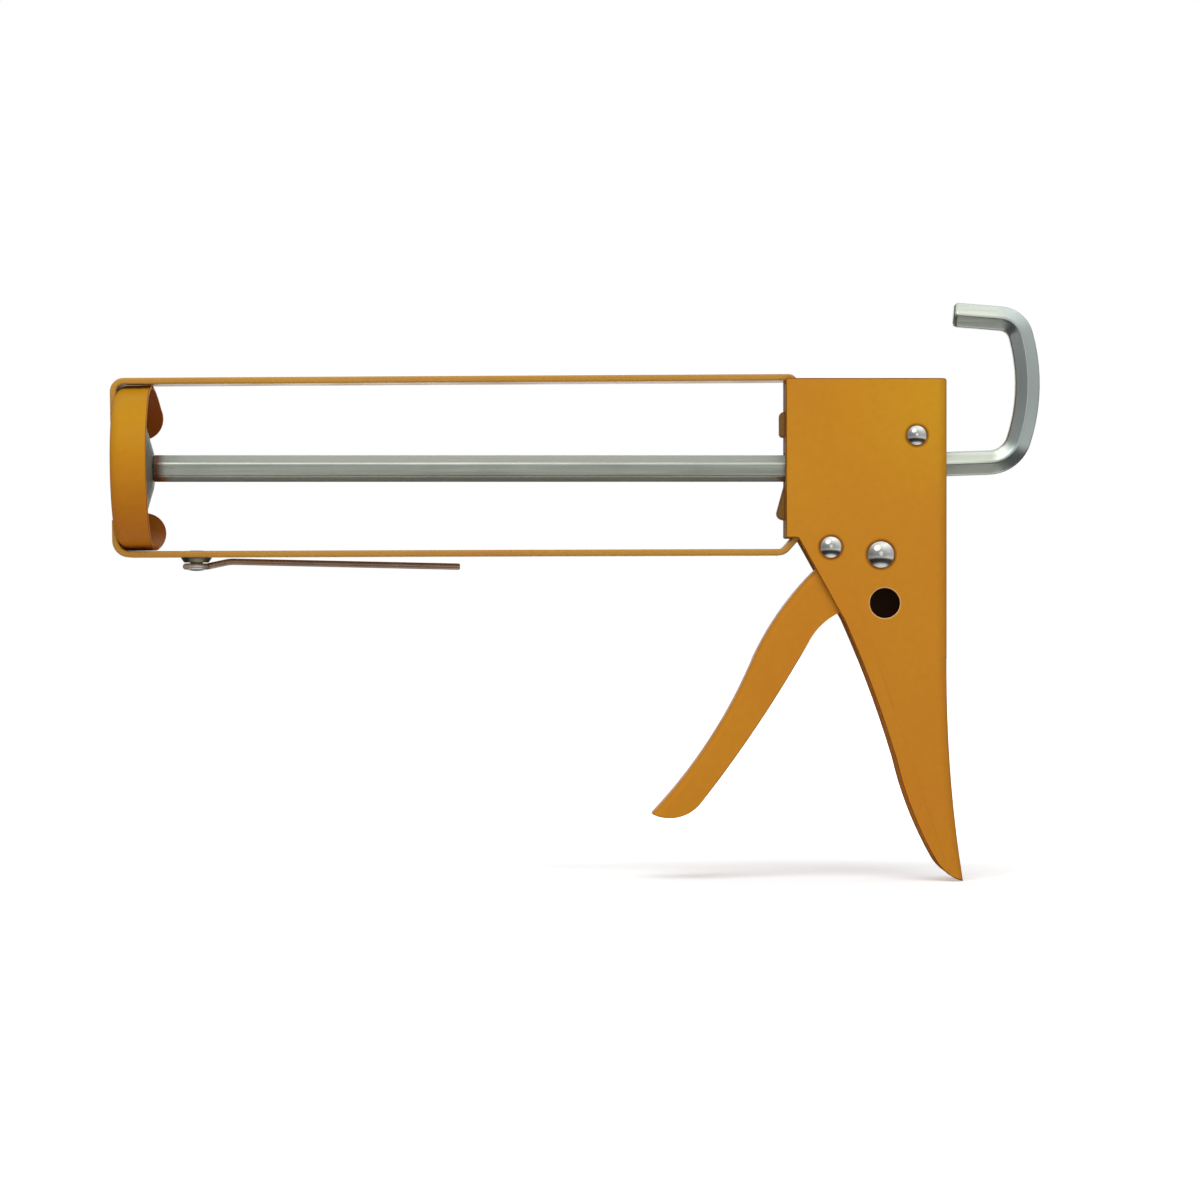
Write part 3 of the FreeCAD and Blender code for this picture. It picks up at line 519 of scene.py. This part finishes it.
@dataclass(frozen=True)
class Plating:
    """Bright metal plating: drawn grain, cloudy tint, pits and brighter rims."""

    name: str
    colour: Colour
    tint: Colour
    stain: Colour
    metallic: float = 1.0
    roughness: float = 0.26
    rough_reach: Pair = (0.8, 1.3)
    grain: Grain = Grain.NONE
    grain_scale: float = 1400.0
    grain_depth: float = 0.010 * MM
    grain_strength: float = 0.5
    line_detail: float = 3.0
    line_span: Pair = (0.25, 0.75)
    line_roughness: float = 0.65
    streak_scale: float = 0.35
    streak_detail: float = 2.0
    streak_span: Pair = (0.35, 0.68)
    streak_ends: Pair = (0.86, 1.08)
    cloud_scale: float = 60.0
    cloud_detail: float = 4.0
    cloud_span: Pair = (0.34, 0.68)
    cloud_distortion: float = 0.6
    blotch_scale: float = 3.1
    blotch_detail: float = 5.0
    blotch_roughness: float = 0.7
    blotch_span: Pair = (0.60, 0.80)
    stain_share: float = 0.25
    stain_roughness: float = 0.35
    pit_scale: float = 2300.0
    pit_sizes: Pair = (0.04, 0.12)
    pit_patches: Clouds = Clouds(210.0, 1.0, (0.62, 0.52))
    pit_depth: float = 0.010 * MM
    pit_strength: float = 0.4
    rim_share: float = 0.35
    rim_gain: float = 1.35
    bend_x: float | None = None
    bend_reach: float = 4.0 * MM
    tail_colour: Colour | None = None
    tail_share: float = 0.8
    end_x: float | None = None
    end_reach: float = 2.5 * MM
    end_colour: Colour = (0.18, 0.09, 0.05)
    end_share: float = 0.85
    sky_colour: Colour | None = None
    sky_metallic: float = 0.35
    sky_slopes: Pair = (0.6, 0.75)

    def behind(self, graph: Graph, share: float = 1.0) -> Socket:
        """0 in front of the bend, rising to a share behind it."""
        bend = self.bend_x or 0.0
        return graph.remap(graph.axis("X"), bend, bend + self.bend_reach, 0.0, share)

    def drawn(self, graph: Graph) -> Socket:
        """Stretches the coordinates along the grain, which turns upwards behind the bend.

        Args:
            graph: The finish's node tree.

        Returns:
            The coordinates' socket.
        """
        along = graph.stretched(self.grain.value)
        if self.bend_x is None:
            return along
        return graph.mix(self.behind(graph), along, graph.stretched(Grain.ALONG_Z.value))

    def plate(self, graph: Graph, drawn: Socket, stained: Socket, rim: bool) -> Socket:
        """Colour of the plating with its streaks and stains.

        Args:
            graph: The finish's node tree.
            drawn: Coordinates along the grain.
            stained: Share of stain.
            rim: True for a rounded edge.

        Returns:
            The colour's socket.
        """
        cloudy = Clouds(self.cloud_scale, self.cloud_detail, self.cloud_span, distortion=self.cloud_distortion)
        colour = graph.mix(graph.clouds(cloudy), self.colour, self.tint)
        streaks = Clouds(self.grain_scale * self.streak_scale, self.streak_detail, self.streak_span)
        grey = graph.grey(graph.clouds(streaks, self.streak_ends, drawn))
        colour = graph.mix(1.0, colour, grey, "MULTIPLY")
        if rim:
            bright = tuple(min(1.0, part * self.rim_gain) for part in self.colour)
            colour = graph.mix(self.rim_share, colour, bright)
        return graph.mix(stained, colour, self.stain)

    def material(self, rim: bool = False) -> bpy.types.Material:
        """Builds the finish.

        Args:
            rim: True for the brighter metal of a rounded edge.

        Returns:
            The material.
        """
        graph = MaterialGraph(self.name + ("_rim" if rim else ""))
        drawn = self.drawn(graph)
        raw = Clouds(self.grain_scale, self.line_detail, (0.0, 1.0), self.line_roughness)
        lines = graph.clouds(raw, place=drawn)
        blotchy = Clouds(self.cloud_scale * self.blotch_scale, self.blotch_detail, self.blotch_span,
                         self.blotch_roughness)
        blotches = graph.clouds(blotchy)
        stained = graph.math("MULTIPLY", blotches, self.stain_share, True)
        colour = self.plate(graph, drawn, stained, rim)
        if self.tail_colour is not None:
            colour = graph.mix(self.behind(graph, self.tail_share), colour, self.tail_colour)
        metallic: float | Socket = self.metallic
        if self.sky_colour is not None:
            upward = graph.axis("Z", graph.normal())
            colour = graph.mix(graph.remap(upward, *self.sky_slopes), colour, self.sky_colour)
            metallic = graph.remap(upward, *self.sky_slopes, self.metallic, self.sky_metallic)
        if self.end_x is not None:
            end = graph.remap(graph.axis("X"), self.end_x + self.end_reach, self.end_x, 0.0, self.end_share)
            colour = graph.mix(end, colour, self.end_colour)
        low, high = (self.roughness * share for share in self.rough_reach)
        rough = graph.remap(lines, *self.line_span, low, high)
        rough = graph.math("ADD", rough, graph.math("MULTIPLY", stained, self.stain_roughness), True)
        normal = graph.bump(lines, self.grain_depth, self.grain_strength)
        pits = graph.remap(graph.cells(self.pit_scale), *self.pit_sizes)
        sparse = graph.math("MAXIMUM", pits, graph.clouds(self.pit_patches))
        normal = graph.bump(sparse, self.pit_depth, self.pit_strength, normal)
        return graph.finish(graph.node("BsdfPrincipled", {
            "Base Color": colour, "Roughness": rough, "Normal": normal, "Metallic": metallic}))


class Finish(Enum):
    """Every finish on the gun, by the material slot it stands for."""

    FRAME_PAINT = "frame_paint"
    BODY_PAINT = "body_paint"
    TRIGGER_PAINT = "trigger_paint"
    PLATED_ROD = "plated_rod"
    PLATED_PLUNGER = "plated_plunger"
    RIVET_BRIGHT = "rivet_bright"
    BUSH_STEEL = "bush_steel"
    SPRING_STEEL = "spring_steel"
    DRIVE_STEEL = "drive_steel"
    WIRE_STEEL = "wire_steel"


# paint: enamel, its warmer and deeper tones, undercoat darkened as painted shade, painted gold sheen,
# near-black painted shade for the cutter's throat, bare lip, painted shade inside the cup
OCHRE = paint_chip(193, 124, 36)
OCHRE_WARM = paint_chip(195, 134, 36)
OCHRE_DEEP = paint_chip(96, 48, 14)
UNDERCOAT_AND_SHADE = paint_chip(188, 118, 44)
PAINTED_SHEEN_GOLD = paint_chip(203, 152, 32)
PAINTED_THROAT_SHADE = paint_chip(40, 26, 16)
WORN = paint_chip(222, 176, 118)
CUP_SHADE = paint_chip(156, 76, 26)


def enamel(name: str, colour: Colour = OCHRE, warm: Colour = OCHRE_WARM, deep: Colour = OCHRE_DEEP,
           **changes: Any) -> Enamel:
    """The gun's enamel under another name, with some of its values changed."""
    return Enamel(name=name, colour=colour, warm=warm, deep=deep, **changes)


# ---- pieces --------------------------------------------------------------
@dataclass
class Pressing:
    """A piece whose edges are rounded and which takes one finish."""

    node: str
    body: Body
    slot: Finish
    edge_radius: float
    sharp_angle: float = 30.0
    flat_angle: float = 0.6
    weld_reach: float = 0.02 * MM
    segments: int = 3
    offset: str = "OFFSET"
    split_flats: bool = False

    @property
    def thing(self) -> bpy.types.Object:
        """The piece's object."""
        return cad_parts[self.node]

    def round_edges(self) -> None:
        """Rounds every sharp edge by the edge radius, without touching the mesh itself."""
        weld = self.thing.modifiers.new("join_facets", "WELD")
        weld.merge_threshold = self.weld_reach
        flat = self.thing.modifiers.new("clear_flats", "DECIMATE")
        flat.decimate_type = "DISSOLVE"
        flat.angle_limit = math.radians(self.flat_angle)
        edge = self.thing.modifiers.new("round_edges", "BEVEL")
        edge.width = self.edge_radius
        edge.segments = self.segments
        edge.limit_method = "ANGLE"
        edge.angle_limit = math.radians(self.sharp_angle)
        edge.offset_type = self.offset
        edge.use_clamp_overlap = False
        edge.loop_slide = False
        edge.miter_outer = "MITER_ARC"
        edge.material = 1
        shade = self.thing.modifiers.new("shade_flats", "WEIGHTED_NORMAL")
        shade.weight = 100
        shade.keep_sharp = False
        if self.split_flats:
            split = self.thing.modifiers.new("split_flats", "TRIANGULATE")
            split.ngon_method = "BEAUTY"
            split.keep_custom_normals = True

    def dress(self, finish: Enamel | Plating) -> None:
        """Gives the piece its finish, and its rims the rim version.

        Args:
            finish: The finish that its material slot stands for.
        """
        mesh = self.thing.data
        mesh.materials[0] = finish.material()
        if self.edge_radius > 0:
            mesh.materials.append(finish.material(rim=True))
            self.round_edges()
        LOG.info("%s: %s as %s on %s, edges rounded by %.2f mm", self.node, finish.name,
                 self.slot.value, self.body.value, self.edge_radius / MM)


@dataclass
class SkeletonFrame:
    """Straps, front cup and rear plate."""

    strap_edge: float = 0.15 * MM
    cup_edge: float = 0.32 * MM
    plate_edge: float = 0.3 * MM
    weld_spread: float = 5.2 * MM
    weld_rise: float = 6.0 * MM

    def welds(self, node: str, upper: bool) -> tuple[Spot, ...]:
        """Spot welds on a strap's lap.

        Args:
            node: The strap.
            upper: True for the strap above the rod.

        Returns:
            Two spots side by side.
        """
        low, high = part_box(node)
        height = low.z + self.weld_rise if upper else high.z - self.weld_rise
        return Spot(-self.weld_spread, height), Spot(self.weld_spread, height)

    def build(self) -> None:
        """Dresses the frame's pieces."""
        for node, upper in (("top_strap", True), ("bottom_strap", False)):
            finish = enamel(node + "_enamel", paint_chip(178, 124, 46), paint_chip(188, 138, 54),
                            spots=self.welds(node, upper), gloss=0.3, roughness=0.28, peel_depth=0.006 * MM)
            Pressing(node, Body.FRAME, Finish.FRAME_PAINT, self.strap_edge).dress(finish)
        low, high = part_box("front_cup")
        # Painted light: the cup's coat turns lighter towards the top; painted shade darkens its inside and
        # rims.
        cup = enamel("cup_enamel", paint_chip(178, 103, 26), paint_chip(192, 137, 28), CUP_SHADE,
                     inner_axis_z=(low.z + high.z) / 2, drift_share=0.15,
                     pool_heights=(low.z * 0.75, high.z * 0.6), pool_share=0.9)
        Pressing("front_cup", Body.FRAME, Finish.FRAME_PAINT, self.cup_edge).dress(cup)
        # Painted shade: the rear plate's enamel is a darker, duller copy of the gun's enamel.
        shaded = enamel("plate_enamel", paint_chip(122, 88, 42), paint_chip(134, 98, 48),
                        gloss=0.1, roughness=0.5)
        Pressing("rear_plate", Body.FRAME, Finish.FRAME_PAINT, self.plate_edge).dress(shaded)


@dataclass
class BodyShell:
    """Side plates and grip, with the rivets and bushes through them."""

    edge: float = 0.36 * MM
    sheet: float = 1.2 * MM
    cutter: Ring = Ring(32.2 * MM, -44.1 * MM, 8.0 * MM, 5.0 * MM)
    cutter_lip: Ring = Ring(32.2 * MM, -44.1 * MM, 5.44 * MM, 0.4 * MM)
    # Painted highlight: a gold sheen patch on the upper rear of the side plates.
    sheen_patch: Ring = Ring(50.0 * MM, 22.0 * MM, 2.0 * MM, 36.0 * MM)
    ring_gap: float = 0.3 * MM
    bush_edge: float = 0.15 * MM
    rivets: tuple[str, ...] = ("rear_rivet", "stop_rivet", "pivot_rivet")
    bushes: tuple[str, ...] = ("rear_sleeve", "stop_sleeve", "pivot_sleeve")

    def build(self) -> None:
        """Dresses the body's pieces."""
        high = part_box("body_shell")[1]
        rings = []
        for node in self.rivets:
            foot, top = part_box(node)
            middle = (foot + top) / 2
            rings.append(Ring(middle.x, middle.z, (top.x - foot.x) / 2 + self.ring_gap))
        # Painted shade inside the channels, near-black round the cutter; a painted gold sheen patch; darker
        # rivet feet.
        coat = enamel("body_enamel", hollow_half=high.y - self.sheet, throat=self.cutter, lip=self.cutter_lip,
                      flow=self.sheen_patch, rings=tuple(rings))
        Pressing("body_shell", Body.FRAME, Finish.BODY_PAINT, self.edge, sharp_angle=60.0, flat_angle=0.05,
                 split_flats=True).dress(coat)
        nickel = Plating("rivet_nickel", colour=paint_chip(212, 213, 208), tint=paint_chip(198, 199, 194),
                         stain=paint_chip(150, 144, 134), roughness=0.10, grain_scale=900.0,
                         grain_depth=0.006 * MM, cloud_scale=240.0, stain_share=0.2)
        for node in self.rivets:
            Pressing(node, Body.FRAME, Finish.RIVET_BRIGHT, 0.0).dress(nickel)
        oiled = Plating("bush_steel", colour=paint_chip(150, 146, 138), tint=paint_chip(124, 118, 108),
                        stain=paint_chip(70, 56, 42), roughness=0.34, grain=Grain.ROUND_Y)
        for node in self.bushes:
            Pressing(node, Body.FRAME, Finish.BUSH_STEEL, self.bush_edge).dress(oiled)


@dataclass
class TriggerLever:
    """The folded trigger."""

    edge: float = 0.22 * MM
    sheet: float = 1.2 * MM

    def build(self) -> None:
        """Dresses the trigger."""
        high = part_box("trigger")[1]
        # Painted shade: a slightly darker undercoat inside the trigger's channel.
        coat = enamel("trigger_enamel", hollow_half=high.y - self.sheet, shell_back=-1.0)
        Pressing("trigger", Body.TRIGGER, Finish.TRIGGER_PAINT, self.edge, sharp_angle=60.0,
                 offset="ABSOLUTE").dress(coat)


@dataclass
class DriveTrain:
    """Drive plate, its return spring and the leaf that drags on the rod."""

    plate_edge: float = 0.3 * MM
    leaf_edge: float = 0.08 * MM

    def build(self) -> None:
        """Dresses the drive's pieces."""
        blued = Plating("spring_blued", colour=paint_chip(120, 118, 116), tint=paint_chip(92, 92, 96),
                        stain=paint_chip(60, 46, 34), roughness=0.3, grain_scale=1800.0)
        steel = Plating("drive_steel", colour=paint_chip(148, 144, 136), tint=paint_chip(126, 122, 116),
                        stain=paint_chip(74, 60, 44), roughness=0.36, grain=Grain.ALONG_Z)
        Pressing("drive_plate", Body.DRIVE, Finish.DRIVE_STEEL, self.plate_edge).dress(steel)
        Pressing("main_spring", Body.FRAME, Finish.SPRING_STEEL, 0.0).dress(blued)
        Pressing("drag_spring", Body.FRAME, Finish.SPRING_STEEL, self.leaf_edge).dress(blued)


@dataclass
class PushRod:
    """Hexagonal rod with its pull hook, and the plunger on its end."""

    rod_edge: float = 0.6 * MM
    hook_depth: float = 14.0 * MM
    plunger_edge: float = 0.25 * MM
    rust_reach: float = 1.6 * MM

    def build(self) -> None:
        """Dresses the rod and the plunger."""
        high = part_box("hex_rod")[1]
        seat = max(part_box(node)[1].x for node in ("plunger_plate", "plunger_washer"))
        zinc = Plating("rod_zinc", colour=paint_chip(199, 205, 194), tint=paint_chip(188, 194, 180),
                       stain=paint_chip(160, 160, 140), grain=Grain.ALONG_X, roughness=0.22,
                       stain_share=0.15, grain_depth=0.014 * MM, metallic=0.92, cloud_scale=38.0,
                       rim_share=0.0, bend_x=high.x - self.hook_depth,
                       end_x=seat + self.rust_reach, end_colour=paint_chip(118, 78, 54),
                       sky_colour=paint_chip(188, 202, 199), tail_colour=paint_chip(176, 187, 186))
        Pressing("hex_rod", Body.PUSH_ROD, Finish.PLATED_ROD, self.rod_edge, sharp_angle=24.0).dress(zinc)
        dull = Plating("plunger_zinc", colour=paint_chip(150, 158, 146), tint=paint_chip(128, 136, 122),
                       stain=paint_chip(84, 82, 62), roughness=0.36, grain_scale=700.0, stain_share=0.35,
                       metallic=0.6)
        for node in ("plunger_plate", "plunger_washer"):
            Pressing(node, Body.PUSH_ROD, Finish.PLATED_PLUNGER, self.plunger_edge).dress(dull)


@dataclass
class SealPunch:
    """Wire punch that swings under the lower strap."""

    collar_edge: float = 0.12 * MM
    eye_highlight_reach: float = 6.0 * MM

    def build(self) -> None:
        """Dresses the punch, its rivet and its collar."""
        # Painted highlight: the wire's eye end is painted near-white.
        wire = Plating("wire_zinc", colour=paint_chip(176, 152, 134), tint=paint_chip(150, 128, 112),
                       stain=paint_chip(92, 76, 62), grain=Grain.ALONG_X, roughness=0.32, grain_scale=2200.0,
                       metallic=0.75, end_x=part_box("punch_wire")[0].x + self.eye_highlight_reach,
                       end_colour=paint_chip(226, 226, 220))
        Pressing("punch_wire", Body.PUNCH, Finish.WIRE_STEEL, 0.0).dress(wire)
        dull = Plating("collar_zinc", colour=paint_chip(146, 140, 118), tint=paint_chip(122, 114, 92),
                       stain=paint_chip(82, 70, 50), grain=Grain.ROUND_Y, roughness=0.26, grain_scale=900.0)
        for node in ("punch_rivet", "punch_collar"):
            Pressing(node, Body.FRAME, Finish.WIRE_STEEL, self.collar_edge).dress(dull)


# ---- studio --------------------------------------------------------------
@dataclass(frozen=True)
class Glow:
    """Bright patch of the room that only shows in gloss: a window or a lit sheet of paper."""

    heading: Triple
    spread: Pair
    level: float


@dataclass
class Studio:
    """Pale floor, soft lights and the camera."""

    camera_place: Triple = (-0.0605, -1.600, -0.0431)
    focal_length: float = 146.4
    sensor: float = 36.0
    clip: Pair = (0.05, 60.0)
    floor_reach: float = 6.0
    floor_gap: float = 0.05 * MM
    fibre: Clouds = Clouds(900.0, 3.0, (0.3, 0.7))
    fibre_ends: Pair = (0.93, 0.95)
    floor_roughness: float = 0.9
    floor_gloss: float = 0.1
    floor_lift: Pair = (0.32, 0.94)
    lift_reach: Pair = (0.04, 0.34)
    key_power: float = 17.5
    key_size: Pair = (1.5, 1.0)
    key_offset: Triple = (-0.15, -1.05, 1.15)
    fill_power: float = 0.7
    fill_size: Pair = (1.6, 1.2)
    fill_offset: Triple = (0.5, -1.5, 0.1)
    ambient: float = 0.36
    room_stops: Stops = ((0.0, 0.75), (0.05, 0.60), (0.09, 0.25), (0.13, 0.05), (0.26, 0.03),
                         (0.31, 0.16), (0.35, 0.50), (0.50, 0.32), (0.60, 0.38), (0.72, 0.48),
                         (0.84, 0.72), (0.92, 1.0), (1.0, 1.0))
    backdrop_stops: Stops = ((0.0, 0.30), (0.18, 0.10), (0.40, 0.08), (0.56, 0.10), (0.74, 0.5), (1.0, 0.9))
    side_span: Pair = (-0.9, 0.9)
    side_levels: Pair = (0.85, 1.85)
    backdrop_span: Pair = (0.15, 0.6)
    window: Glow = Glow((-0.34, -0.66, 0.67), (0.93, 0.985), 1.8)
    paper: Glow = Glow((0.0, 1.0, -0.04), (0.95, 0.99), 1.1)
    front: Glow = Glow((0.05, -1.0, 0.16), (0.965, 0.992), 0.7)

    def floor(self, level: float) -> None:
        """Lays the floor.

        Args:
            level: Height of its top.
        """
        mesh = bmesh.new()
        bmesh.ops.create_grid(mesh, x_segments=8, y_segments=8, size=self.floor_reach)
        data = bpy.data.meshes.new("studio_floor")
        mesh.to_mesh(data)
        mesh.free()
        floor = bpy.data.objects.new("studio_floor", data)
        floor.location = (0.0, 0.0, level)
        bpy.context.scene.collection.objects.link(floor)
        graph = MaterialGraph("floor_paper")
        colour = graph.grey(graph.clouds(self.fibre, self.fibre_ends))
        paper = graph.node("BsdfPrincipled", {"Base Color": colour, "Roughness": self.floor_roughness,
                                              "Specular IOR Level": self.floor_gloss})
        path = graph.node("LightPath")
        reach = graph.node("VectorMath", {0: graph.place}, operation="LENGTH").outputs["Value"]
        lift = graph.math("MULTIPLY", path.outputs["Is Camera Ray"],
                          graph.remap(reach, *self.lift_reach, *self.floor_lift))
        glow = graph.node("Emission", {"Color": (1.0, 1.0, 1.0, 1.0), "Strength": lift})
        data.materials.append(graph.finish(graph.node("AddShader", {0: paper.outputs[0], 1: glow.outputs[0]})))
        floor.visible_glossy = False
        floor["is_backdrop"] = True
        LOG.info("floor at %.1f mm", level / MM)

    def levels(self, graph: Graph, height: Socket, stops: Stops) -> Socket:
        """Grey that changes with height.

        Args:
            graph: The world's node tree.
            height: Value from 0 straight down to 1 straight up.
            stops: Heights and their levels.

        Returns:
            The colour's socket.
        """
        ramp = graph.node("ValToRGB", {"Fac": height})
        elements = ramp.color_ramp.elements
        while len(elements) > 1:
            elements.remove(elements[-1])
        for number, (position, level) in enumerate(stops):
            stop = elements[0] if number == 0 else elements.new(position)
            stop.position = position
            stop.color = (level, level, level, 1.0)
        return ramp.outputs["Color"]

    def glow(self, graph: Graph, patch: Glow) -> Socket:
        """Level of a bright patch of the room.

        Args:
            graph: The world's node tree.
            patch: Where it lies and how bright it is.

        Returns:
            The level's socket.
        """
        heading = Vector(patch.heading).normalized()
        toward = graph.node("VectorMath", {0: graph.place, 1: heading}, operation="DOT_PRODUCT")
        return graph.remap(toward.outputs["Value"], *patch.spread, 0.0, patch.level)

    def room(self, graph: Graph) -> Socket:
        """Builds what the metal mirrors: levels by height, a brighter right side and bright patches.

        Args:
            graph: The world's node tree.

        Returns:
            The colour's socket.
        """
        height = graph.remap(graph.axis("Z"), -1.0, 1.0)
        behind = graph.remap(graph.axis("Y"), *self.backdrop_span)
        room = graph.mix(behind, self.levels(graph, height, self.room_stops),
                         self.levels(graph, height, self.backdrop_stops))
        sides = graph.remap(graph.axis("X"), *self.side_span, *self.side_levels)
        room = graph.node("VectorMath", {0: room, "Scale": sides}, operation="SCALE").outputs[0]
        for patch in (self.window, self.paper, self.front):
            room = graph.node("VectorMath", {0: room, 1: self.glow(graph, patch)}, operation="ADD").outputs[0]
        return room

    def world(self) -> None:
        """White to the camera, even to the paint, and a soft room to the metal."""
        world = bpy.data.worlds.new("studio")
        world.use_nodes = True
        bpy.context.scene.world = world
        graph = Graph(world.node_tree, "Generated")
        path = graph.node("LightPath")
        white = (1.0, 1.0, 1.0, 1.0)
        light = graph.node("Background", {"Color": white, "Strength": self.ambient}).outputs[0]
        for ray, colour in (("Is Glossy Ray", self.room(graph)), ("Is Camera Ray", white)):
            other = graph.node("Background", {"Color": colour, "Strength": 1.0}).outputs[0]
            light = graph.node("MixShader", {0: path.outputs[ray], 1: light, 2: other}).outputs[0]
        graph.node("OutputWorld", {"Surface": light})

    def lamp(self, name: str, power: float, size: Pair, offset: Triple, centre: Vector) -> None:
        """Hangs a soft box that looks at the object.

        Args:
            name: The lamp's name.
            power: Watts.
            size: Width and height in metres.
            offset: Place from the object's centre.
            centre: The object's centre.
        """
        data = bpy.data.lights.new(name, "AREA")
        data.shape = "RECTANGLE"
        data.size, data.size_y = size
        data.energy = power
        lamp = bpy.data.objects.new(name, data)
        lamp.location = centre + Vector(offset)
        lamp.rotation_euler = (-Vector(offset)).to_track_quat("-Z", "Y").to_euler()
        lamp.visible_glossy = False
        bpy.context.scene.collection.objects.link(lamp)

    def camera(self) -> None:
        """Sets the camera square to the gun's left side."""
        data = bpy.data.cameras.new("side_camera")
        data.lens = self.focal_length
        data.sensor_width = self.sensor
        data.clip_start, data.clip_end = self.clip
        camera = bpy.data.objects.new("side_camera", data)
        camera.location = self.camera_place
        camera.rotation_euler = (math.radians(90), 0.0, 0.0)
        bpy.context.scene.collection.objects.link(camera)
        bpy.context.scene.camera = camera

    def build(self, low: Vector, high: Vector) -> None:
        """Sets up the studio round the object.

        Args:
            low: Lowest corner of the object's box.
            high: Highest corner of the object's box.
        """
        self.camera()
        self.floor(low.z - self.floor_gap)
        self.world()
        centre = (low + high) / 2
        self.lamp("key_box", self.key_power, self.key_size, self.key_offset, centre)
        self.lamp("fill_box", self.fill_power, self.fill_size, self.fill_offset, centre)
        bpy.context.scene.view_settings.view_transform = "Standard"


def main() -> None:
    """Dresses the gun from the front cup to the pull hook and sets up the studio."""
    logging.basicConfig(level=logging.INFO, format="%(name)s: %(message)s")
    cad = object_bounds()
    Studio().build(*cad)
    SkeletonFrame().build()
    BodyShell().build()
    TriggerLever().build()
    DriveTrain().build()
    PushRod().build()
    SealPunch().build()


if __name__ == "__main__":
    main()
